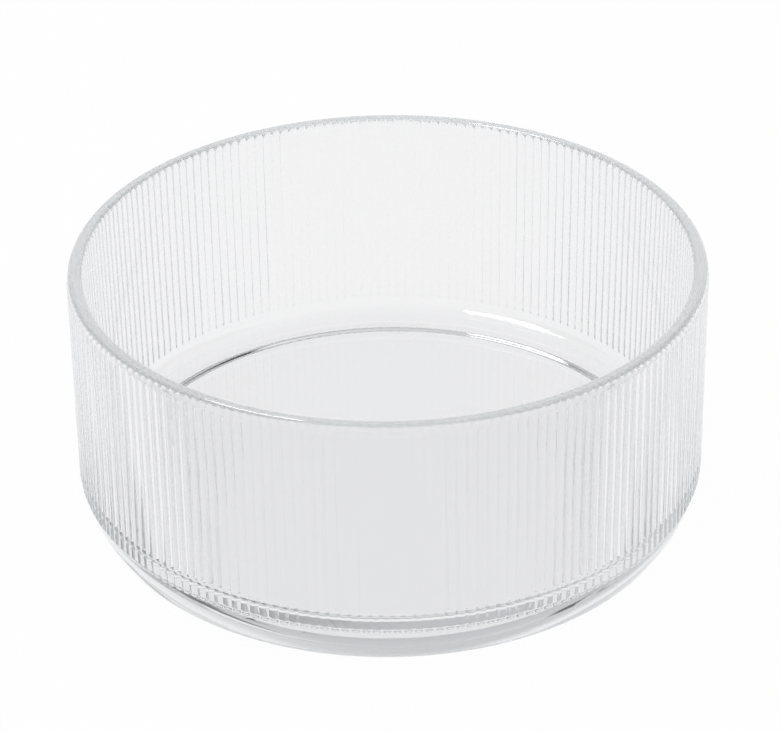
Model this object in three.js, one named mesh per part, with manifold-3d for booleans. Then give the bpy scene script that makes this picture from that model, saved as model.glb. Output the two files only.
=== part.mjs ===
// Ribbed serving bowl of clear glass: one piece, straight-sided, standing on a low ring foot.
// Millimetres, +Z up. The origin is the middle of the face that the bowl stands on.

import * as THREE from 'three';
import { mergeVertices } from 'three/addons/utils/BufferGeometryUtils.js';
import Module from 'manifold-3d';

// Overall size
const HEIGHT = 86.5;
const DIAMETER = 200; // across the crests of the ribs

// Ribs: convex reeds side by side round the outside, with sharp valleys between them
const RIB_COUNT = 200;
const RIB_HEIGHT = 0.4;
const RIB_BOTTOM = 14; // where the tips end on the heel
const RIB_TIP = 1.8; // length over which a rib sinks into the plain glass
const RIB_STEPS = 4; // facets across one rib

// Wall and rim
const RIM_WALL = 4.6;
const WALL_DRAFT = 0.8; // the inside narrows by this much on its way down
const LIP_SHARE = 0.45; // part of the wall that each of the lip's two rounds takes
const RIM_BAND = 0.3; // plain glass between the lip and the tips of the ribs

// Floor, heel and foot
const FLOOR_LEVEL = 14.4;
const FLOOR_ROUND = 5.4; // round between the inner wall and the floor
const HEEL_HEIGHT = 16.2;
const HEEL_INSET = 6.8;
const HEEL_FULLNESS = 1.62; // 1 is a straight taper, 2 a round one
const FOOT_ROUND = 2.6;
const FOOT_WIDTH = 1.4; // flat ring that the bowl stands on
const FOOT_RECESS = 0.3;
const RECESS_SLOPE = 1.8;

// Fineness of the curves
const RIBS_PER_FACET = 2; // ribs that one facet of the plain glass carries
const HEEL_STEPS = 4;
const LIP_STEPS = 3;
const FOOT_STEPS = 2;
const FLOOR_STEPS = 5;

const wasm = await Module();
wasm.setup();
const { Manifold, Mesh } = wasm;

const turnSteps = RIB_COUNT / RIBS_PER_FACET;
const lipRound = RIM_WALL * LIP_SHARE;
const ribTop = HEIGHT - lipRound - RIM_BAND;
const plainRadius = DIAMETER / 2 - RIB_HEIGHT;
const innerRimRadius = plainRadius - RIM_WALL;
const innerHeelRadius = innerRimRadius - WALL_DRAFT;

// Radius of the plain outside of the glass at a height: a straight wall above a rounded heel.
function outsideRadius(z) {
  const below = Math.max(0, 1 - z / HEEL_HEIGHT);
  return plainRadius - HEEL_INSET * below ** HEEL_FULLNESS;
}

// Points of a round of a profile, from one angle to another, in degrees.
function round(centreRadius, centreHeight, radius, from, to, steps) {
  return Array.from({ length: steps + 1 }, (_, i) => {
    const angle = THREE.MathUtils.degToRad(from + (to - from) * i / steps);
    return new THREE.Vector2(
      centreRadius + radius * Math.cos(angle),
      centreHeight + radius * Math.sin(angle),
    );
  });
}

// Body of revolution about Z.
function revolve(profile, steps) {
  return new THREE.LatheGeometry(profile, steps).rotateX(Math.PI / 2);
}

function toSolid(geometry) {
  const bare = geometry.clone();
  for (const name of Object.keys(bare.attributes)) {
    if (name !== 'position') {
      bare.deleteAttribute(name);
    }
  }
  const welded = mergeVertices(bare, 1e-5);
  const index = Array.from(welded.index.array);
  const triangles = [];
  for (let i = 0; i < index.length; i += 3) {
    const [a, b, c] = index.slice(i, i + 3);
    if (a !== b && b !== c && c !== a) {
      triangles.push(a, b, c);
    }
  }
  return new Manifold(new Mesh({
    numProp: 3,
    vertProperties: new Float32Array(welded.attributes.position.array),
    triVerts: new Uint32Array(triangles),
  }));
}

function toGeometry(solid) {
  const mesh = solid.getMesh();
  const geometry = new THREE.BufferGeometry();
  geometry.setAttribute('position', new THREE.BufferAttribute(mesh.vertProperties, 3));
  geometry.setIndex(new THREE.BufferAttribute(mesh.triVerts, 1));
  geometry.computeVertexNormals();
  return geometry;
}

// Plain glass under the ribs: recessed underside, ring foot, and the heel that its round runs into.
function plainFoot() {
  const taper = HEEL_INSET * HEEL_FULLNESS / HEEL_HEIGHT;
  const footOuter = outsideRadius(0) + FOOT_ROUND * (taper - Math.hypot(1, taper));
  const footInner = footOuter - FOOT_WIDTH;
  const lean = THREE.MathUtils.radToDeg(Math.atan(taper));
  const heel = Array.from({ length: HEEL_STEPS }, (_, i) => {
    const z = FOOT_ROUND + (RIB_BOTTOM - FOOT_ROUND) * (i + 1) / HEEL_STEPS;
    return new THREE.Vector2(outsideRadius(z), z);
  });
  return revolve([
    new THREE.Vector2(0, FOOT_RECESS),
    new THREE.Vector2(footInner - RECESS_SLOPE, FOOT_RECESS),
    new THREE.Vector2(footInner, 0),
    ...round(footOuter, FOOT_ROUND, FOOT_ROUND, -90, -lean, FOOT_STEPS),
    ...heel,
    new THREE.Vector2(0, RIB_BOTTOM),
  ], turnSteps);
}

// Plain glass over the ribs: a narrow band and the outer round of the lip.
function plainRim() {
  return revolve([
    new THREE.Vector2(0, ribTop),
    new THREE.Vector2(plainRadius, ribTop),
    ...round(plainRadius - lipRound, HEIGHT - lipRound, lipRound, 0, 90, LIP_STEPS),
    new THREE.Vector2(0, HEIGHT),
  ], turnSteps);
}

// Ribbed wall between them. Each rib rises from the plain glass at both ends, over its tip.
function ribbedWall() {
  const rows = [
    new THREE.Vector2(0, RIB_BOTTOM),
    new THREE.Vector2(outsideRadius(RIB_BOTTOM), RIB_BOTTOM),
    new THREE.Vector2(outsideRadius(RIB_BOTTOM + RIB_TIP), RIB_BOTTOM + RIB_TIP),
    new THREE.Vector2(plainRadius, ribTop - RIB_TIP),
    new THREE.Vector2(plainRadius, ribTop),
    new THREE.Vector2(0, ribTop),
  ];
  const wall = revolve(rows, RIB_COUNT * RIB_STEPS);
  const position = wall.attributes.position;
  const facet = 2 * Math.PI / turnSteps;
  const turn = 2 * Math.PI / (RIB_COUNT * RIB_STEPS);
  for (let i = 0; i < position.count; i += 1) {
    const row = i % rows.length;
    const step = Math.floor(i / rows.length);
    const across = step % RIB_STEPS / RIB_STEPS;
    const rise = RIB_HEIGHT * (1 - (2 * across - 1) ** 2);
    const offFacetMiddle = step * turn % facet - facet / 2;
    const scale = row === 2 || row === 3
      ? 1 + rise / rows[row].x
      : Math.cos(facet / 2) / Math.cos(offFacetMiddle);
    position.setX(i, position.getX(i) * scale);
    position.setY(i, position.getY(i) * scale);
  }
  return wall;
}

// The hollow: flat floor, round up to the wall, wall widening to the rim, inner round of the lip.
function hollow() {
  const lipCentre = innerRimRadius + lipRound;
  return revolve([
    new THREE.Vector2(0, FLOOR_LEVEL),
    ...round(innerHeelRadius - FLOOR_ROUND, FLOOR_LEVEL + FLOOR_ROUND, FLOOR_ROUND, -90, 0, FLOOR_STEPS),
    ...round(lipCentre, HEIGHT - lipRound, lipRound, 180, 90, LIP_STEPS),
    new THREE.Vector2(lipCentre, HEIGHT + lipRound),
    new THREE.Vector2(0, HEIGHT + lipRound),
  ], turnSteps);
}

const glass = new THREE.MeshStandardMaterial({
  name: 'clear_glass',
  color: 0xdde3e3,
  roughness: 0.04,
  metalness: 0,
  transparent: true,
  opacity: 0.35,
});

const solid = toSolid(plainFoot())
  .add(toSolid(ribbedWall()))
  .add(toSolid(plainRim()))
  .subtract(toSolid(hollow()));
const bowl = new THREE.Mesh(toGeometry(solid), glass);
bowl.name = 'bowl';

const servingBowl = new THREE.Group();
servingBowl.name = 'serving_bowl';
servingBowl.add(bowl);

export default servingBowl;
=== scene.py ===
import math

import bmesh
import bpy
import numpy as np
from bpy.props import FloatProperty, FloatVectorProperty, IntProperty, PointerProperty
from mathutils import Matrix, Vector


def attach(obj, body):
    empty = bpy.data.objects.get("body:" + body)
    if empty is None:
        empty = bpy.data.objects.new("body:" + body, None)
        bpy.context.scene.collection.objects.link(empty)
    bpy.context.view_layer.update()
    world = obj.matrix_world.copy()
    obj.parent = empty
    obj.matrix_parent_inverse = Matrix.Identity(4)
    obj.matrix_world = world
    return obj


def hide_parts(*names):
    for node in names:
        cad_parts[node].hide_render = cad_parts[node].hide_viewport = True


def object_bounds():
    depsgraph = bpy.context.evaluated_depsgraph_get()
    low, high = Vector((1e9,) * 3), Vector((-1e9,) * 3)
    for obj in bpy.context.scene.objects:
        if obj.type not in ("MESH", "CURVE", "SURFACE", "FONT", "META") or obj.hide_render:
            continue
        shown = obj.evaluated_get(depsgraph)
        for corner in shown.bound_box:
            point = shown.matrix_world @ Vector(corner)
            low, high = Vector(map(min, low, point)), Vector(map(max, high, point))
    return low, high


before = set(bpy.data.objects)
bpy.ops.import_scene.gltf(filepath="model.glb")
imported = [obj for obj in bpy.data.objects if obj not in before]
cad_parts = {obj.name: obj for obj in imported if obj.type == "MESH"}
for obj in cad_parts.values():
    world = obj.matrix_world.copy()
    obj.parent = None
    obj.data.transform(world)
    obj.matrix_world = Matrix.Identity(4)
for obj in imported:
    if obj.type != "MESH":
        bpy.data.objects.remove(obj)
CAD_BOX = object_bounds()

bl_info = {
    "name": "Ribbed glass serving bowl",
    "version": (1, 0, 0),
    "blender": (4, 5, 0),
    "location": "3D View > Sidebar > Bowl",
    "description": "Builds a clear glass serving bowl with a ribbed wall, and its studio",
    "category": "Object",
}

MM = 0.001


def linear(hex_colour):
    """sRGB hex to the linear values that shaders use."""
    parts = [int(hex_colour[i:i + 2], 16) / 255 for i in (1, 3, 5)]
    return tuple(c / 12.92 if c <= 0.04045 else ((c + 0.055) / 1.055) ** 2.4 for c in parts)


def length(name, description, default):
    """Property for a size, in metres."""
    return FloatProperty(
        name=name, description=description, default=default, min=0.0, unit="LENGTH", precision=5)


def share(name, description, default):
    """Property for a part of a whole, from 0 to 1."""
    return FloatProperty(
        name=name, description=description, default=default, min=0.0, max=1.0, subtype="FACTOR")


def colour(name, description, hex_colour):
    """Property for a colour, which is written as sRGB hex."""
    return FloatVectorProperty(
        name=name, description=description, default=linear(hex_colour), min=0.0, max=1.0,
        subtype="COLOR", size=3)


class BowlSizes(bpy.types.PropertyGroup):
    """Sizes of the glass, as moulded."""

    height: length("Height", "Table to the top of the rim", CAD_BOX[1].z)
    diameter: length("Diameter", "Across the crests of the ribs", 200 * MM)
    rib_count: IntProperty(name="Ribs", description="Ribs round the wall", default=200, min=12)
    rib_height: length("Rib height", "Crest above the plain glass", 0.4 * MM)
    rib_drift: share("Rib drift", "Share by which the ribs differ in height and lean", 0.3)
    rib_tip: length("Rib tip", "Length of a rib's rounded end", 1.8 * MM)
    rib_bottom: length("Rib end", "Height of the ribs' lower tips", 14 * MM)
    rim_band: length("Rim band", "Plain glass between the lip and the ribs", 0.3 * MM)
    rim_wall: length("Rim wall", "Thickness of the wall at the rim", 4.6 * MM)
    lip_share: share("Lip share", "Part of the wall that each round of the lip takes", 0.45)
    wall_draft: length("Draft", "How much the inside narrows on its way down", 0.8 * MM)
    floor_level: length("Floor level", "Height of the inner floor", 14.4 * MM)
    floor_round: length("Floor round", "Round between the wall and the floor", 5.4 * MM)
    heel_height: length("Heel height", "Height of the tapered heel", 16.2 * MM)
    heel_inset: length("Heel inset", "How far the heel draws in", 6.8 * MM)
    heel_fullness: FloatProperty(
        name="Heel fullness", description="1 is a straight taper, 2 a round one",
        default=1.62, min=1.0)
    foot_round: length("Foot round", "Round at the outer edge of the foot", 2.6 * MM)
    foot_width: length("Foot width", "Width of the ring that stands on the table", 2.2 * MM)
    foot_recess: length("Recess", "Depth of the hollow under the floor", 1.4 * MM)
    recess_slope: length("Recess slope", "Width of the slope into the hollow", 4.2 * MM)
    wall_drift: length(
        "Wall drift", "Slow unevenness that the mould leaves in the wall", 0.06 * MM)


class GlassLook(bpy.types.PropertyGroup):
    """Colour and gloss of the glass."""

    tint: colour("Tint", "Colour of light through thick glass", "#E4E8E9")
    tint_density: FloatProperty(
        name="Tint density", description="Absorption per metre of glass", default=3.6)
    wall_colour: colour("Wall colour", "Colour of white seen through one wall", "#F5F5F6")
    ior: FloatProperty(name="IOR", description="Refractive index of soda-lime glass", default=1.52)
    haze: share("Haze", "Roughness of the haziest patches of the surface", 0.03)
    ripple: length("Ripple", "Depth of the fine waves in the skin of the glass", 0.01 * MM)
    ripple_size: length("Ripple size", "Width of one wave in the skin", 9 * MM)


class StudioLook(bpy.types.PropertyGroup):
    """Paper, room, soft box and camera."""

    floor_colour: colour("Floor", "Pale paper under the bowl", "#FAFAFA")
    floor_size: length("Floor size", "Side of the paper", 6.0)
    floor_glow: share("Floor white", "Share of plain white in the open paper", 0.97)
    glass_glow: share("White in glass", "The same share, as the glass shows the paper", 0.93)
    ceiling_colour: colour("Ceiling", "Dim studio over and behind the bowl", "#D2D2D4")
    flag_colour: colour("Flags", "Black cards that draw dark lines in the glass", "#202022")
    lamp_power: FloatProperty(
        name="Lamp", description="Power of the overhead soft box", default=3.1, unit="POWER")
    lamp_size: length("Lamp size", "Side of the soft box", 0.33)
    lamp_place: FloatVectorProperty(
        name="Lamp place", description="Middle of the soft box, which faces the bowl",
        subtype="XYZ", size=3, default=(-0.41, 0.11, 1.11))
    light_bounces: IntProperty(
        name="Bounces", description="Turns that light may take inside the glass",
        default=40, min=4)
    camera_distance: length("Camera distance", "Lens to the middle of the bowl", 1.0)
    camera_elevation: FloatProperty(
        name="Elevation", description="Camera above the horizon",
        default=math.radians(31.13), subtype="ANGLE")
    camera_roll: FloatProperty(
        name="Roll", description="Tilt of the camera", default=math.radians(0.8), subtype="ANGLE")
    camera_aim: FloatVectorProperty(
        name="Aim", description="Point in the middle of the picture", subtype="XYZ", size=3,
        default=(0.31 * MM, 0.0, 46.7 * MM))
    camera_lens: FloatProperty(
        name="Lens", description="Focal length", default=145.1, unit="CAMERA")


def add_node(tree, kind, values=None, links=None, **settings):
    """Adds a node with its settings, socket values and incoming links."""
    node = tree.nodes.new(kind)
    for name, value in settings.items():
        setattr(node, name, value)
    for socket, value in (values or {}).items():
        node.inputs[socket].default_value = value
    for socket, source in (links or {}).items():
        tree.links.new(source, node.inputs[socket])
    return node


# Wave detail in the skin of the glass, and the wave heights between which haze sets in
WAVE_DETAIL, WAVE_ROUGHNESS = 1.5, 0.4
HAZE_EDGE = (0.45, 0.8)


def glass_material(look):
    """Soda-lime glass, moulded and then fire-polished.

    Fire polish leaves a clear, glossy skin with slow waves and a trace of haze. The
    glass is nearly colourless in a wall and grey-green where the eye looks along it.
    """
    material = bpy.data.materials.new("soda_lime_glass_fire_polished")
    material.use_nodes = True
    tree = material.node_tree
    tree.nodes.clear()
    place = add_node(tree, "ShaderNodeTexCoord").outputs["Object"]
    waves = add_node(
        tree, "ShaderNodeTexNoise",
        {"Scale": 1 / look.ripple_size, "Detail": WAVE_DETAIL, "Roughness": WAVE_ROUGHNESS},
        {"Vector": place}).outputs["Fac"]
    skin = add_node(
        tree, "ShaderNodeBump", {"Strength": 1.0, "Distance": look.ripple}, {"Height": waves})
    haze = add_node(
        tree, "ShaderNodeMapRange",
        {"From Min": HAZE_EDGE[0], "From Max": HAZE_EDGE[1], "To Min": 0.0, "To Max": look.haze},
        {"Value": waves})
    surface = add_node(
        tree, "ShaderNodeBsdfPrincipled",
        {"Base Color": (*look.wall_colour, 1), "IOR": look.ior, "Transmission Weight": 1.0},
        {"Roughness": haze.outputs["Result"], "Normal": skin.outputs["Normal"]})
    body = add_node(
        tree, "ShaderNodeVolumeAbsorption",
        {"Color": (*look.tint, 1), "Density": look.tint_density})
    add_node(
        tree, "ShaderNodeOutputMaterial", {},
        {"Surface": surface.outputs["BSDF"], "Volume": body.outputs["Volume"]})
    return material


# Distance beside a bend at which the next row lies, so that shading stays even on the flat
EDGE = 0.3 * MM
# Places across a rib, -1 and 1 at its valleys and 0 at its crest. They crowd towards the valleys.
RIB_PLACES = np.array([-1, -0.93, -0.75, -0.4, 0, 0.4, 0.75, 0.93])
# Places along a rib's tip, 0 where it has its full height. They follow the tip's round outline.
TIP_PLACES = np.sort(np.append(np.sqrt(1 - RIB_PLACES[:4] ** 2), [0.2, 0.52, 0.8, 1.0]))
# Places of the rings of points on the flat discs, as shares of their radius
DISC_PLACES = (0.3, 0.7)
# Numbers of rows on the sloping, tapered and upright parts, and of steps on the rounds
SLOPE_ROWS, HEEL_ROWS, RIB_ROWS, WALL_ROWS = 9, 9, 9, 16
ROUND_STEPS, FLOOR_ROUND_STEPS = 8, 16
# Waves of the drift: turns round the bowl, climb in radians per metre, start in radians
DRIFT_WAVES = ((5, 31, 0.4), (9, -23, 1.9), (14, 41, 3.1), (23, 17, 4.4), (37, -53, 5.2))
# Part of the inner wall over which its drift fades out, at the lip and at the floor
DRIFT_FADE = 0.25
# Step in the drift between a rib's height and its lean
LEAN_STEP = 0.5


def outside_radius(s, z):
    """Plain outside of the glass: a straight wall over a tapered heel."""
    below = np.maximum(0, 1 - z / s.heel_height)
    return s.diameter / 2 - s.rib_height - s.heel_inset * below ** s.heel_fullness


def arc(centre_radius, centre_height, radius, start, end, steps):
    """Points (radius, height) of a round, by angles in degrees."""
    angle = np.radians(np.linspace(start, end, steps + 1))
    return np.stack(
        [centre_radius + radius * np.cos(angle), centre_height + radius * np.sin(angle)], 1)


def drift(angle, height):
    """Slow unevenness of moulded glass, from -1 to 1, the same in every run."""
    total = sum(
        np.sin(turns * angle + climb * height + start) for turns, climb, start in DRIFT_WAVES)
    return total / len(DRIFT_WAVES)


class Skin:
    """Rows of points from the middle of the underside, over the lip, to the middle of the floor."""

    def __init__(self, rib_count):
        self.points = []
        self.faces = []
        self.last = None
        ribs = np.arange(rib_count)[:, None]
        pitch = 2 * math.pi / rib_count
        self.fine = ((ribs + (RIB_PLACES + 1) / 2) * pitch).ravel()
        self.coarse = ((ribs + np.array([0, 0.5])) * pitch).ravel()

    def add(self, points):
        """Adds a row of points and the faces between it and the row before."""
        start = len(self.points)
        self.points.extend(points)
        now = np.arange(start, len(self.points))
        if self.last is not None:
            self.join(self.last, now)
        self.last = now

    def row(self, angle, radius, height):
        height = np.broadcast_to(height, angle.shape)
        self.add(np.stack([radius * np.cos(angle), radius * np.sin(angle), height], 1))

    def pole(self, height):
        self.add(np.array([[0, 0, height]]))

    def join(self, low, high):
        """Faces between two rows, which may have different numbers of points."""
        steps = max(len(low), len(high))
        for i in range(steps):
            a, b = (
                row[[i * len(row) // steps, (i + 1) % steps * len(row) // steps]]
                for row in (low, high))
            corners = [a[0], a[1], b[1], b[0]]
            face = [c for n, c in enumerate(corners) if c != corners[n - 1]]
            if len(face) > 2:
                self.faces.append([int(c) for c in face])


def bowl_mesh(s):
    """The section of the bowl, turned round its axis, with the ribs raised on the outside."""
    skin = Skin(s.rib_count)
    plain = s.diameter / 2 - s.rib_height
    lip = s.rim_wall * s.lip_share
    lip_bottom = s.height - lip
    rib_top = lip_bottom - s.rim_band
    inner_rim = plain - s.rim_wall
    inner_heel = inner_rim - s.wall_draft
    floor_edge = inner_heel - s.floor_round
    wall_bottom = s.floor_level + s.floor_round
    taper = s.heel_inset * s.heel_fullness / s.heel_height
    foot_outer = outside_radius(s, 0) + s.foot_round * (taper - math.hypot(1, taper))
    foot_inner = foot_outer - s.foot_width
    hollow_edge = foot_inner - s.recess_slope

    def smooth_rows(rows):
        for radius, height in rows:
            skin.row(skin.coarse, radius, height)

    # Underside, foot and heel
    skin.pole(s.foot_recess)
    smooth_rows((hollow_edge * place, s.foot_recess) for place in DISC_PLACES)
    smooth_rows([(hollow_edge - EDGE, s.foot_recess)])
    ease = np.linspace(0, 1, SLOPE_ROWS)
    slope = s.foot_recess * (1 - (3 * ease ** 2 - 2 * ease ** 3))
    smooth_rows(zip(hollow_edge + s.recess_slope * ease, slope))
    smooth_rows([(foot_inner + EDGE, 0), (foot_outer - EDGE, 0)])
    lean = math.degrees(math.atan(taper))
    smooth_rows(arc(foot_outer, s.foot_round, s.foot_round, -90, -lean, ROUND_STEPS))
    heel = np.linspace(s.foot_round, s.rib_bottom - EDGE, HEEL_ROWS)
    smooth_rows(zip(outside_radius(s, heel), heel))

    # Ribbed wall
    across = np.tile(RIB_PLACES, s.rib_count)
    rib = np.repeat(np.arange(s.rib_count), len(RIB_PLACES))
    lower = s.rib_bottom + s.rib_tip * (1 - TIP_PLACES[::-1])
    middle = np.linspace(s.rib_bottom + s.rib_tip, rib_top - s.rib_tip, RIB_ROWS)[1:-1]
    upper = rib_top - s.rib_tip * (1 - TIP_PLACES)
    for z in np.concatenate([lower, middle, upper]):
        into_tip = max(0, s.rib_bottom + s.rib_tip - z, z - rib_top + s.rib_tip) / s.rib_tip
        rise = s.rib_height * np.maximum(0, 1 - across ** 2 - into_tip ** 2)
        uneven = 1 + s.rib_drift * (drift(rib, z) + across * drift(rib + LEAN_STEP, z))
        skin.row(skin.fine, outside_radius(s, z) + rise * uneven, z)

    # Lip, inner wall, round and floor
    smooth_rows(arc(plain - lip, lip_bottom, lip, 0, 90, ROUND_STEPS))
    smooth_rows(arc(inner_rim + lip, lip_bottom, lip, 90, 180, ROUND_STEPS))
    for z in np.linspace(lip_bottom, wall_bottom, WALL_ROWS)[1:-1]:
        climb = (z - wall_bottom) / (lip_bottom - wall_bottom)
        fade = min(1, min(climb, 1 - climb) / DRIFT_FADE)
        uneven = fade * s.wall_drift * drift(skin.coarse, z)
        skin.row(skin.coarse, inner_heel + s.wall_draft * climb + uneven, z)
    smooth_rows(arc(floor_edge, wall_bottom, s.floor_round, 0, -90, FLOOR_ROUND_STEPS))
    smooth_rows([(floor_edge - EDGE, s.floor_level)])
    smooth_rows((floor_edge * place, s.floor_level) for place in reversed(DISC_PLACES))
    skin.pole(s.floor_level)

    mesh = bpy.data.meshes.new("bowl_glass")
    mesh.from_pydata([tuple(p) for p in skin.points], [], skin.faces)
    mesh.validate()
    mesh.shade_smooth()
    return mesh


class BOWL_OT_glass(bpy.types.Operator):
    """Build the bowl of clear ribbed glass"""

    bl_idname = "bowl.glass"
    bl_label = "Glass bowl"

    def execute(self, context):
        sizes = context.scene.bowl_sizes
        bowl = bpy.data.objects.new("bowl_glass", bowl_mesh(sizes))
        context.scene.collection.objects.link(bowl)
        bowl.data.materials.append(glass_material(context.scene.bowl_glass))
        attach(bowl, "root")
        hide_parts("bowl")
        return {"FINISHED"}


# Directions from the bowl to the parts of the studio, and the cosines between which each fades in
CEILING = ((-0.25, 0.65, 0.72), (0.35, 0.78))
RIGHT_FLAG = ((0.63, 0.36, 0.69), (0.885, 0.92))
LEFT_FLAG = ((-0.67, 0, 0.74), (0.955, 0.975))
TOP_FLAG = ((0.12, 0.25, 0.96), (0.97, 0.985))
# Height over the horizon, as a sine, over which the white sweep gives way to the room
SWEEP_TOP = (0.03, 0.07)
# Air between the foot and the paper, so that their faces don't coincide
PAPER_GAP = 0.05 * MM
# Width of the camera's sensor in millimetres
SENSOR_WIDTH = 36
WHITE = (1, 1, 1, 1)
# Colour sockets of a Mix node
MIX_A, MIX_B, MIX_RESULT = 6, 7, 2


def paper_material(look):
    """White paper sweep: matt, and bright enough to read as a white ground through the glass."""
    material = bpy.data.materials.new("white_paper_sweep")
    material.use_nodes = True
    tree = material.node_tree
    tree.nodes.clear()
    path = add_node(tree, "ShaderNodeLightPath").outputs
    through = add_node(
        tree, "ShaderNodeMath", {}, {0: path["Is Glossy Ray"], 1: path["Is Transmission Ray"]},
        operation="MAXIMUM").outputs["Value"]
    in_glass = add_node(
        tree, "ShaderNodeMath", {1: look.glass_glow}, {0: through},
        operation="MULTIPLY").outputs["Value"]
    in_open = add_node(
        tree, "ShaderNodeMath", {1: look.floor_glow}, {0: path["Is Camera Ray"]},
        operation="MULTIPLY").outputs["Value"]
    glow = add_node(
        tree, "ShaderNodeMath", {}, {0: in_glass, 1: in_open},
        operation="MAXIMUM").outputs["Value"]
    paper = add_node(tree, "ShaderNodeBsdfDiffuse", {"Color": (*look.floor_colour, 1)})
    white = add_node(tree, "ShaderNodeEmission", {"Color": WHITE, "Strength": 1.0})
    both = add_node(
        tree, "ShaderNodeMixShader", {},
        {0: glow, 1: paper.outputs["BSDF"], 2: white.outputs["Emission"]})
    add_node(tree, "ShaderNodeOutputMaterial", {}, {"Surface": both.outputs["Shader"]})
    return material


def studio_world(look):
    """White sweep round the bowl, dim ceiling towards the back, and three black cards."""
    world = bpy.data.worlds.new("studio")
    world.use_nodes = True
    tree = world.node_tree
    tree.nodes.clear()
    camera_ray = add_node(tree, "ShaderNodeLightPath").outputs["Is Camera Ray"]
    direction = add_node(tree, "ShaderNodeTexCoord").outputs["Generated"]
    climb = add_node(tree, "ShaderNodeSeparateXYZ", {}, {"Vector": direction}).outputs["Z"]
    cards = [(CEILING, look.ceiling_colour)]
    cards += [(flag, look.flag_colour) for flag in (RIGHT_FLAG, LEFT_FLAG, TOP_FLAG)]
    tone = None
    for (side, edge), card_colour in cards:
        facing = add_node(
            tree, "ShaderNodeVectorMath", {1: Vector(side).normalized()}, {0: direction},
            operation="DOT_PRODUCT").outputs["Value"]
        shade = add_node(
            tree, "ShaderNodeMapRange", {"From Min": edge[0], "From Max": edge[1]},
            {"Value": facing}, interpolation_type="SMOOTHSTEP").outputs["Result"]
        tone = add_node(
            tree, "ShaderNodeMix", {MIX_A: WHITE, MIX_B: (*card_colour, 1)},
            {0: shade, MIX_A: tone} if tone else {0: shade},
            data_type="RGBA").outputs[MIX_RESULT]
    over_sweep = add_node(
        tree, "ShaderNodeMapRange", {"From Min": SWEEP_TOP[0], "From Max": SWEEP_TOP[1]},
        {"Value": climb}, interpolation_type="SMOOTHSTEP").outputs["Result"]
    room = add_node(
        tree, "ShaderNodeMix", {MIX_A: WHITE}, {0: over_sweep, MIX_B: tone},
        data_type="RGBA").outputs[MIX_RESULT]
    around = add_node(tree, "ShaderNodeBackground", {"Strength": 1.0}, {"Color": room})
    white = add_node(tree, "ShaderNodeBackground", {"Color": WHITE, "Strength": 1.0})
    both = add_node(
        tree, "ShaderNodeMixShader", {},
        {0: camera_ray, 1: around.outputs["Background"], 2: white.outputs["Background"]})
    add_node(tree, "ShaderNodeOutputWorld", {}, {"Surface": both.outputs["Shader"]})
    return world


class BOWL_OT_studio(bpy.types.Operator):
    """Build the paper floor, the light and the camera"""

    bl_idname = "bowl.studio"
    bl_label = "Studio"

    def execute(self, context):
        scene = context.scene
        look = scene.bowl_studio
        mesh = bpy.data.meshes.new("paper_floor")
        grid = bmesh.new()
        bmesh.ops.create_grid(grid, x_segments=4, y_segments=4, size=look.floor_size / 2)
        grid.to_mesh(mesh)
        grid.free()
        floor = bpy.data.objects.new("paper_floor", mesh)
        scene.collection.objects.link(floor)
        floor.data.materials.append(paper_material(look))
        floor.location.z = -PAPER_GAP

        scene.world = studio_world(look)
        lamp = bpy.data.lights.new("soft_box", "AREA")
        lamp.shape = "RECTANGLE"
        lamp.size = lamp.size_y = look.lamp_size
        lamp.energy = look.lamp_power
        soft_box = bpy.data.objects.new("soft_box", lamp)
        soft_box.location = look.lamp_place
        soft_box.rotation_euler = (-soft_box.location).to_track_quat("-Z", "Y").to_euler()
        # The skin of the glass mirrors the soft box, but it doesn't burn out the thick heel
        soft_box.visible_transmission = False
        scene.collection.objects.link(soft_box)

        camera = bpy.data.cameras.new("camera")
        camera.sensor_fit = "HORIZONTAL"
        camera.sensor_width = SENSOR_WIDTH
        camera.lens = look.camera_lens
        eye = bpy.data.objects.new("camera", camera)
        aim = Vector(look.camera_aim)
        back = Vector((0, -math.cos(look.camera_elevation), math.sin(look.camera_elevation)))
        turn = back.to_track_quat("Z", "Y").to_matrix() @ Matrix.Rotation(-look.camera_roll, 3, "Z")
        eye.matrix_world = Matrix.Translation(aim + back * look.camera_distance) @ turn.to_4x4()
        scene.collection.objects.link(eye)
        scene.camera = eye
        scene.view_settings.view_transform = "Standard"
        for kind in ("max_bounces", "transmission_bounces", "glossy_bounces"):
            setattr(scene.cycles, kind, look.light_bounces)
        return {"FINISHED"}


class BOWL_PT_panel(bpy.types.Panel):
    """Sizes, colours and build steps of the bowl"""

    bl_label = "Serving bowl"
    bl_space_type = "VIEW_3D"
    bl_region_type = "UI"
    bl_category = "Bowl"

    def draw(self, context):
        for group in GROUPS:
            box = self.layout.box()
            settings = getattr(context.scene, group)
            for name in settings.__annotations__:
                box.prop(settings, name)
        for step in STEPS:
            self.layout.operator(step.bl_idname)


STEPS = (BOWL_OT_glass, BOWL_OT_studio)
GROUPS = {"bowl_sizes": BowlSizes, "bowl_glass": GlassLook, "bowl_studio": StudioLook}


def register():
    for kind in (*GROUPS.values(), *STEPS, BOWL_PT_panel):
        bpy.utils.register_class(kind)
    for name, group in GROUPS.items():
        setattr(bpy.types.Scene, name, PointerProperty(type=group))


def unregister():
    for name in GROUPS:
        delattr(bpy.types.Scene, name)
    for kind in (BOWL_PT_panel, *STEPS, *GROUPS.values()):
        bpy.utils.unregister_class(kind)


def main():
    register()
    bpy.ops.bowl.glass()
    bpy.ops.bowl.studio()


if __name__ == "__main__":
    main()
